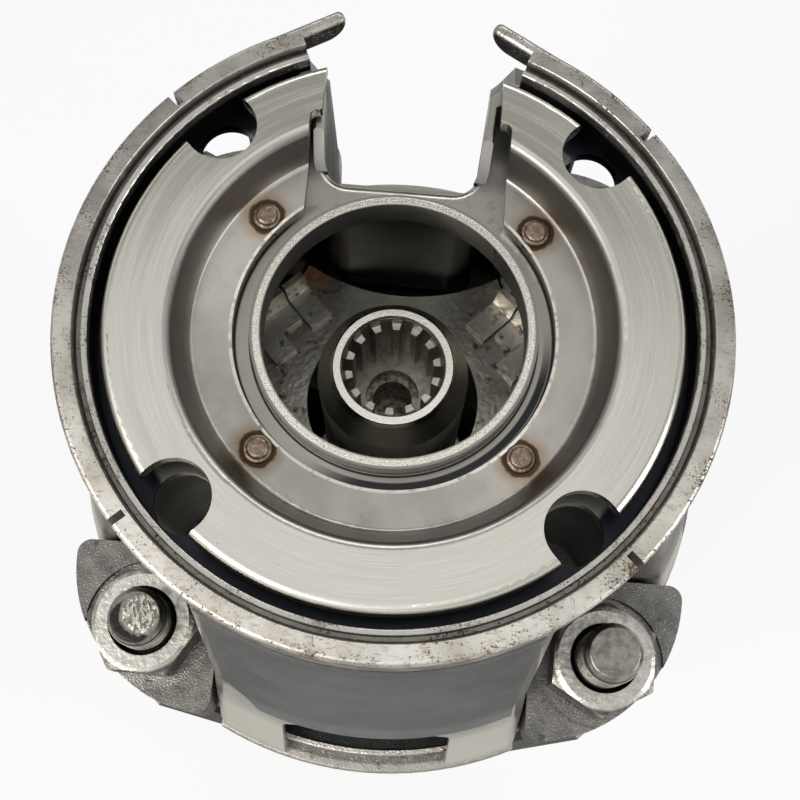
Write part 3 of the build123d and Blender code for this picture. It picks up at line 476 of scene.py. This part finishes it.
def turned_steel():
    """Turned steel of coupling and shaft: bright lines outside, dull and rusty inside."""
    f = Finish("turned_steel")
    rim = f.both(f.ramp(f.z, -23.2, -22.4), f.ramp(f.radius, 7.9, 8.1))
    inside = f.both(f.ramp(f.radius, 8.3, 8.0), f.ramp(f.z, -23.0, -24.0))
    hole = f.both(f.ramp(f.radius, 5.6, 4.2), f.ramp(f.z, -38.0, -40.0))
    cone = f.both(f.ramp(f.radius, 9.0, 9.4), f.ramp(f.z, -22.8, -24.0))

    lines = f.noise(0.16, (1.0, 0.6, 1.0), 2.0, f.round_place)
    colour = f.blend(f.ramp(lines, 0.3, 0.7), (0.50, 0.485, 0.44), (0.62, 0.60, 0.545))
    colour = f.over(colour, (0.80, 0.775, 0.70), rim)
    colour = f.over(colour, (0.34, 0.32, 0.28), inside, 0.5)
    rust = f.ramp(f.noise(1.1, detail=5.0), 0.42, 0.62)
    stain = f.both(f.either(hole, f.both(inside, 0.35)), rust)
    colour = f.over(colour, RUST, stain, 0.85)
    # Painted highlight: the cone's colour is raised to stand in for the bright reflections on it.
    colour = f.over(colour, (0.72, 0.71, 0.67), cone)
    specks = f.ramp(f.noise(0.3, detail=2.0), 0.72, 0.77)
    colour = f.over(colour, (0.10, 0.085, 0.07), specks, 0.6)
    rough = f.between(f.either(inside, stain), f.between(cone, 0.26, 0.44), 0.5)
    f.brush(0.6)
    return f.done(colour, rough, f.between(rim, lines, f.noise(0.4)), 0.04)


def cast_casing():
    """Investment casting of the valve casing: fine grain and a few brown stains."""
    f = Finish("cast_casing")
    grain = f.noise(0.45, detail=3.0)
    colour = f.clouds(20.0, (0.41, 0.40, 0.375), (0.33, 0.322, 0.30))
    colour = f.over(colour, (0.52, 0.505, 0.47), f.ramp(grain, 0.55, 0.72), 0.5)
    stain = f.ramp(f.noise(7.0, (1, 1, 0.4), 5.0), 0.60, 0.78)
    colour = f.over(colour, (0.18, 0.15, 0.115), stain, 0.35)
    rough = f.between(f.ramp(grain, 0.3, 0.7), 0.38, 0.52)
    return f.done(colour, rough, f.math("ADD", grain, f.both(f.noise(2.5), 0.8)), 0.09)


def valve_steel():
    """Turned stainless of seat and cup."""
    f = Finish("valve_steel")
    lines = f.turned(0.2, 0.4)
    colour = f.blend(f.ramp(lines, 0.3, 0.7), (0.44, 0.43, 0.395), (0.58, 0.565, 0.52))
    colour = f.over(colour, (0.28, 0.25, 0.21), f.ramp(f.noise(4.0), 0.55, 0.75), 0.3)
    f.brush(0.5)
    return f.done(colour, f.between(f.ramp(f.noise(3.0), 0.3, 0.7), 0.2, 0.32), lines, 0.03)


def spring_wire():
    """Drawn stainless wire with faint draw marks."""
    f = Finish("spring_wire")
    marks = f.noise(0.3, place=f.round_place)
    colour = f.blend(f.ramp(marks, 0.35, 0.7), (0.48, 0.46, 0.42), (0.30, 0.285, 0.26))
    return f.done(colour, f.between(f.ramp(marks, 0.3, 0.7), 0.22, 0.36), marks, 0.02)


def strap_steel():
    """Straps with a long grain, and studs with scuffed tips, the front left one torn."""
    f = Finish("strap_steel")
    stud = f.both(f.ramp(f.corner(STUD_CORNER), 5.4, 5.1), f.ramp(f.z, -70.0, -69.0))
    front_left = f.both(f.ramp(f.x, -30.0, -34.0), f.ramp(f.y, -30.0, -34.0))
    torn_end = f.both(stud, front_left, f.ramp(f.z, -45.8, -45.2))
    plain_ends = f.both(stud, f.ramp(f.z, -43.8, -43.2))
    ends = f.either(plain_ends, torn_end)

    grain = f.noise(0.3, (1, 1, 0.05))
    colour = f.clouds(9.0, (0.42, 0.405, 0.375), (0.33, 0.32, 0.295))
    colour = f.over(colour, (0.24, 0.23, 0.21), f.ramp(grain, 0.5, 0.72), 0.35)
    plain_tip = f.clouds(1.6, (0.30, 0.287, 0.26), (0.19, 0.18, 0.165), low=0.4, high=0.65)
    marks = f.ramp(f.noise(0.28, (0.25, 1.0, 1.0), 3.0), 0.60, 0.70)
    plain_tip = f.over(plain_tip, (0.48, 0.46, 0.41), marks, 0.5)

    # A torn patch off the tip's middle, with a dark crescent beside it
    tip_height = STUD_TIPS["strap_front_left"][2]
    patch_centre = (-STUD_CORNER + 0.9, -STUD_CORNER + 0.5, tip_height)
    from_patch = f.vector("DISTANCE", f.place, patch_centre)
    strokes = f.ramp(f.noise(0.55, (1.0, 0.35, 1.0), 4.0), 0.38, 0.56)
    torn = f.both(strokes, f.ramp(f.math("ADD", from_patch, f.noise(1.3)), 3.9, 3.0))
    torn_tip = f.blend(torn, (0.20, 0.19, 0.17), (0.46, 0.44, 0.395))
    crescent_centre = (-STUD_CORNER - 0.6, -STUD_CORNER - 1.0, tip_height)
    from_crescent = f.vector("DISTANCE", f.place, crescent_centre)
    off_patch = f.ramp(f.math("ADD", from_patch, f.noise(0.9)), 4.0, 4.3)
    crescent = f.both(off_patch, f.ramp(from_crescent, 3.9, 3.5))
    torn_tip = f.over(torn_tip, (0.03, 0.029, 0.027), crescent)

    colour = f.over(colour, (0.18, 0.168, 0.15), stud, 0.5)
    colour = f.blend(plain_ends, colour, plain_tip)
    colour = f.blend(torn_end, colour, torn_tip)
    grime = f.ramp(f.noise(1.3, detail=4.0), 0.50, 0.66)
    colour = f.over(colour, (0.04, 0.035, 0.03), stud, grime, 0.75, f.ramp(ends, 1.0, 0.0))
    rough = f.between(ends, f.between(stud, 0.3, 0.42), 0.36)
    dents = f.math("MULTIPLY_ADD", torn, 0.5, f.both(f.noise(1.6), 0.8))
    return f.done(colour, rough, f.between(ends, f.both(grain, 0.15), dents), 0.2)


def nut_steel():
    """Nuts with mottled bright faces and darker flanks that are scuffed at their corners."""
    f = Finish("nut_steel")
    face = f.ramp(f.z, NUT_TOP - 0.5, NUT_TOP - 0.2)
    from_stud = f.corner(STUD_CORNER)
    mottled = f.clouds(1.3, (0.60, 0.58, 0.53), (0.40, 0.385, 0.35), 4.0, 0.38, 0.66)
    flank = f.clouds(2.0, (0.10, 0.096, 0.09), (0.19, 0.183, 0.17), low=0.4, high=0.65)
    worn = f.ramp(f.noise(0.8, detail=4.0), 0.40, 0.55)
    flank = f.over(flank, (0.44, 0.42, 0.385), f.ramp(from_stud, 9.1, 9.7), worn, 0.8)
    colour = f.blend(face, flank, mottled)
    colour = f.over(colour, (0.055, 0.048, 0.042), f.ramp(from_stud, 6.1, 5.5), 0.8)
    specks = f.ramp(f.noise(0.4, detail=2.0), 0.69, 0.75)
    colour = f.over(colour, (0.07, 0.055, 0.045), specks, 0.7)
    rough = f.between(face, 0.36, f.between(f.ramp(f.noise(1.3), 0.4, 0.65), 0.26, 0.42))
    return f.done(colour, rough, f.noise(0.7, detail=4.0), 0.10)


def label_foil():
    """The bare rating plate: dark satin anodised foil with a fine grain and a few rubs."""
    f = Finish("label_foil", 0.35)
    grain = f.noise(0.3, (1.0, 1.0, 0.06))
    colour = f.clouds(16.0, (0.10, 0.10, 0.099), (0.13, 0.13, 0.128))
    colour = f.over(colour, (0.06, 0.059, 0.058), f.ramp(grain, 0.5, 0.75), 0.35)
    rub = f.ramp(f.noise(1.6, (1, 1, 2.5), 5.0), 0.68, 0.76)
    colour = f.over(colour, (0.30, 0.29, 0.27), rub, 0.4)
    return f.done(colour, f.between(f.ramp(f.noise(5.0), 0.35, 0.7), 0.34, 0.44), grain, 0.02)


def thread_steel():
    """The studs' threads: crests bright, roots dark."""
    f = Finish("thread_steel")
    crest = f.ramp(f.corner(STUD_CORNER), 4.72, 4.93)
    colour = f.blend(crest, (0.05, 0.043, 0.036), (0.50, 0.47, 0.42))
    colour = f.over(colour, (0.12, 0.10, 0.08), f.ramp(f.noise(0.9), 0.52, 0.7), 0.7)
    return f.done(colour, f.between(crest, 0.6, 0.3), f.noise(0.4), 0.05)


def link(name, data):
    """A new object with this mesh, camera or lamp, in the scene."""
    thing = bpy.data.objects.new(name, data)
    bpy.context.scene.collection.objects.link(thing)
    return thing


def made(bm, name):
    """The mesh that a bmesh holds."""
    mesh = bpy.data.meshes.new(name)
    bm.to_mesh(mesh)
    bm.free()
    return mesh


def add_piece(name, mesh, material):
    """Puts a mesh made here on the pump's body and gives it its finish."""
    piece = link(name, mesh)
    piece.data.materials.append(material)
    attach(piece, "casing")
    return piece


def smooth(mesh):
    for polygon in mesh.polygons:
        polygon.use_smooth = True


def wound(name, sections):
    """A closed mesh through sections with the same number of points, from end to end."""
    bm = bmesh.new()
    rings = [[bm.verts.new(point) for point in section] for section in sections]
    sides = len(rings[0])
    for first, second in zip(rings, rings[1:]):
        for j in range(sides):
            k = (j + 1) % sides
            bm.faces.new((first[j], first[k], second[k], second[j]))
    bm.faces.new(rings[0])
    bm.faces.new(rings[-1][::-1])
    bmesh.ops.recalc_face_normals(bm, faces=bm.faces)
    return made(bm, name)


def drum_radius(z):
    """The front drum's outer radius at a height."""
    for (top, near), (foot, wide) in zip(DRUM_PROFILE, DRUM_PROFILE[1:]):
        if z >= foot:
            return near + (wide - near) * (top - z) / (top - foot)
    return DRUM_PROFILE[-1][1]


def label_plate(material):
    """The bare plate on the front drum, bent to the drum's cone, with one corner cut."""
    columns, rows = 56, 22
    half_width, top, foot, cut = 24.3, -8.6, -55.6, 6.0
    thickness, glue = 0.35, 0.04
    sharp_edge = 40
    bm = bmesh.new()

    def sheet(lift):
        grid = []
        for row in range(rows + 1):
            z = top + (foot - top) * row / rows
            radius = drum_radius(z) + lift
            left = -half_width + max(0.0, cut - (z - foot))
            line = []
            for column in range(columns + 1):
                x = max(left, -half_width + 2 * half_width * column / columns)
                line.append(bm.verts.new(mm(x, -math.sqrt(radius * radius - x * x), z)))
            grid.append(line)
        return grid

    def border(grid):
        return [grid[0], grid[-1], [line[0] for line in grid], [line[-1] for line in grid]]

    outside, inside = sheet(thickness), sheet(glue)
    for row in range(rows):
        for column in range(columns):
            for grid, turn in ((outside, 1), (inside, -1)):
                upper, lower = grid[row], grid[row + 1]
                corners = [upper[column], lower[column], lower[column + 1], upper[column + 1]]
                bm.faces.new(corners[::turn])
    for high, low in zip(border(outside), border(inside)):
        for i in range(len(high) - 1):
            bm.faces.new((high[i], high[i + 1], low[i + 1], low[i]))
    bmesh.ops.remove_doubles(bm, verts=bm.verts, dist=1e-6)
    bmesh.ops.recalc_face_normals(bm, faces=bm.faces)
    mesh = made(bm, "label_plate")
    smooth(mesh)
    piece = add_piece("label_plate", mesh, material)
    split = piece.modifiers.new("edges", "EDGE_SPLIT")
    split.split_angle = math.radians(sharp_edge)


def stud_thread(name, side_x, side_y, tip, material):
    """The thread on a stud above its nut: one ridge wound from the nut to just below the tip."""
    pitch, crest, root = 1.5, 4.98, STUD_RADIUS - 0.12
    half_root, half_crest = 0.62, 0.14
    sunk_in_nut, below_tip = 2.6, 1.1
    steps, run_out, least_width = 40, 0.5, 0.3
    start, end = NUT_TOP - sunk_in_nut, tip - below_tip
    turns = (end - start) / pitch
    count = int(turns * steps)
    sections = []
    for i in range(count + 1):
        share = i / count
        angle = 2 * math.pi * turns * share
        z = start + (end - start) * share
        fade = min(1.0, min(share, 1.0 - share) * turns / run_out)
        peak = root + (crest - root) * fade
        width = max(fade, least_width)
        profile = ((root, -half_root), (peak, -half_crest), (peak, half_crest), (root, half_root))
        sections.append([
            mm(
                side_x * STUD_CORNER + radius * math.cos(angle),
                side_y * STUD_CORNER + radius * math.sin(angle),
                z + rise * width,
            )
            for radius, rise in profile
        ])
    add_piece(name, wound(name, sections), material)


def valve_coil(material):
    """The valve's spring, in metres: it stands on the guide."""
    wire, turns = 0.001, 4.5
    steps, sides = 48, 12
    low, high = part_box("valve_spring")
    coil = high[0] - wire
    count = int(turns * steps)
    foot, top = low[2] + wire, high[2] - wire
    slope = (top - foot) / (2 * math.pi * turns * coil)
    sections = []
    for i in range(count + 1):
        angle = 2 * math.pi * i / steps
        outward = Vector((math.cos(angle), math.sin(angle), 0))
        ahead = Vector((-math.sin(angle), math.cos(angle), slope)).normalized()
        upward = ahead.cross(outward)
        middle = outward * coil + Vector((0, 0, foot + (top - foot) * i / count))
        sections.append([
            middle + wire * (outward * math.cos(turn) + upward * math.sin(turn))
            for turn in (2 * math.pi * j / sides for j in range(sides))
        ])
    mesh = wound("valve_coil", sections)
    smooth(mesh)
    piece = add_piece("valve_coil", mesh, material)
    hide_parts("valve_spring")
    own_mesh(piece)


def make_camera():
    """The photograph's viewing point, found from the motor flange's standard sizes."""
    place = mm(3.53, -60.62, 170.34)
    azimuth = math.radians(2.10)
    elevation = math.radians(73.99)
    roll = math.radians(2.54)
    forward = Vector((
        -math.sin(azimuth) * math.cos(elevation),
        math.cos(azimuth) * math.cos(elevation),
        -math.sin(elevation),
    ))
    right = Vector((math.cos(azimuth), math.sin(azimuth), 0))
    up = right.cross(forward)
    turned_right = right * math.cos(roll) + up * math.sin(roll)
    turned_up = up * math.cos(roll) - right * math.sin(roll)
    data = bpy.data.cameras.new("camera")
    data.lens = 58.5
    data.sensor_width = 36.0
    data.clip_start = 0.01
    data.clip_end = 20.0
    camera = link("camera", data)
    turn = Matrix((turned_right, turned_up, -forward)).transposed()
    camera.matrix_world = Matrix.Translation(place) @ turn.to_4x4()
    bpy.context.scene.camera = camera


def backdrop_share(tree):
    """1 for camera and glossy rays, which see the white background, and 0 for the others."""
    path = tree.nodes.new("ShaderNodeLightPath")
    both = tree.nodes.new("ShaderNodeMath")
    both.operation = "MAXIMUM"
    tree.links.new(path.outputs["Is Camera Ray"], both.inputs[0])
    tree.links.new(path.outputs["Is Glossy Ray"], both.inputs[1])
    return both.outputs[0]


def mix_into(output, tree, share, first, second):
    """Shows the first shader where share is 0 and the second where it is 1."""
    mix = tree.nodes.new("ShaderNodeMixShader")
    tree.links.new(share, mix.inputs[0])
    tree.links.new(first.outputs[0], mix.inputs[1])
    tree.links.new(second.outputs[0], mix.inputs[2])
    tree.links.new(mix.outputs[0], tree.nodes[output].inputs[0])


def make_world():
    """Soft light all round, seen as plain white."""
    world = bpy.data.worlds.new("studio")
    world.use_nodes = True
    tree = world.node_tree
    soft = tree.nodes["Background"]
    soft.inputs[0].default_value = (0.93, 0.97, 1.0, 1)
    soft.inputs[1].default_value = 0.45
    white = tree.nodes.new("ShaderNodeBackground")
    white.inputs[0].default_value = (1, 1, 1, 1)
    white.inputs[1].default_value = 1.0
    mix_into("World Output", tree, backdrop_share(tree), soft, white)
    bpy.context.scene.world = world


def make_floor():
    """A pale floor that stays almost white and keeps the pump's shadow."""
    half_size, glow_share = 3.0, 0.8
    bm = bmesh.new()
    bmesh.ops.create_grid(bm, x_segments=8, y_segments=8, size=half_size)
    floor = link("floor", made(bm, "floor"))
    material = bpy.data.materials.new("floor")
    material.use_nodes = True
    tree = material.node_tree
    surface = tree.nodes["Principled BSDF"]
    surface.inputs["Base Color"].default_value = (0.86, 0.86, 0.86, 1)
    surface.inputs["Roughness"].default_value = 0.9
    glow = tree.nodes.new("ShaderNodeEmission")
    glow.inputs[0].default_value = (1, 1, 1, 1)
    share = tree.nodes.new("ShaderNodeMath")
    share.operation = "MULTIPLY"
    tree.links.new(backdrop_share(tree), share.inputs[0])
    share.inputs[1].default_value = glow_share
    mix_into("Material Output", tree, share.outputs[0], surface, glow)
    floor.data.materials.append(material)


def make_lamp(name, place, target, size, power, colour=(1, 1, 1)):
    data = bpy.data.lights.new(name, "AREA")
    data.shape = "RECTANGLE"
    data.size, data.size_y = size
    data.energy = power
    data.color = colour
    lamp = link(name, data)
    lamp.location = place
    lamp.rotation_euler = (target - place).to_track_quat("-Z", "Y").to_euler()


def make_card(name, corners, strength):
    """A toned card that only reflections see, as they see the room round the camera."""
    bm = bmesh.new()
    bm.faces.new([bm.verts.new(corner) for corner in corners])
    card = link(name, made(bm, name))
    material = bpy.data.materials.new(name)
    material.use_nodes = True
    tree = material.node_tree
    tone = tree.nodes.new("ShaderNodeEmission")
    tone.inputs[0].default_value = (1.0, 0.985, 0.95, 1)
    tone.inputs[1].default_value = strength
    tree.links.new(tone.outputs[0], tree.nodes["Material Output"].inputs[0])
    card.data.materials.append(material)
    card.visible_camera = False
    card.visible_diffuse = False
    card.visible_shadow = False
    card.visible_transmission = False


def level_card(name, left, right, near, far, height, strength):
    outline = ((left, near), (right, near), (right, far), (left, far))
    make_card(name, [mm(x, y, height) for x, y in outline], strength)


def upright_card(name, first, second, high, strength):
    """A card that stands on the floor between two x, y points."""
    low = -PUMP_LENGTH
    corners = [mm(*first, low), mm(*second, low), mm(*second, high), mm(*first, high)]
    make_card(name, corners, strength)


make_camera()
bpy.context.scene.view_settings.view_transform = "Standard"
make_world()
make_floor()
lit_place = mm(0, 0, -20)
make_lamp("key", mm(-380, -320, 520), lit_place, (0.34, 0.34), 3.8, (1.0, 0.95, 0.88))
make_lamp("side", mm(520, -120, 300), lit_place, (0.24, 0.5), 1.8)
make_lamp("back", mm(60, 520, 380), lit_place, (0.6, 0.2), 1.6)
level_card("ceiling_back", -900, 900, 172, 1500, 420, 0.36)
level_card("ceiling_right", 150, 900, -700, 172, 460, 0.55)
level_card("table", -260, 260, -260, 260, -PUMP_LENGTH + 2, 0.15)
upright_card("wall_back", (-240, 640), (240, 640), 330, 0.14)
upright_card("wall_left", (-640, 160), (-640, -140), 260, 0.16)
upright_card("wall_right", (640, -140), (640, 160), 260, 0.16)
upright_card("wall_front", (-150, -640), (190, -640), 220, 0.45)

finishes = {
    make.__name__: make()
    for make in (
        ring_band, machined_plate, weld_plugs, drawn_shell, inner_sheet, cast_flange,
        stage_sheet, impeller_sheet, bearing_rubber, ring_plastic, turned_steel,
        cast_casing, valve_steel, spring_wire, strap_steel, nut_steel,
    )
}
for part in frame["record"]["subparts"]:
    for slot in frame["nodes"][part["node"]].material_slots:
        slot.material = finishes[part["material_slot"]]

label_plate(label_foil())
valve_coil(finishes["spring_wire"])
threads = thread_steel()
for name, (side_x, side_y, tip) in STUD_TIPS.items():
    stud_thread(name.replace("strap", "thread"), side_x, side_y, tip, threads)
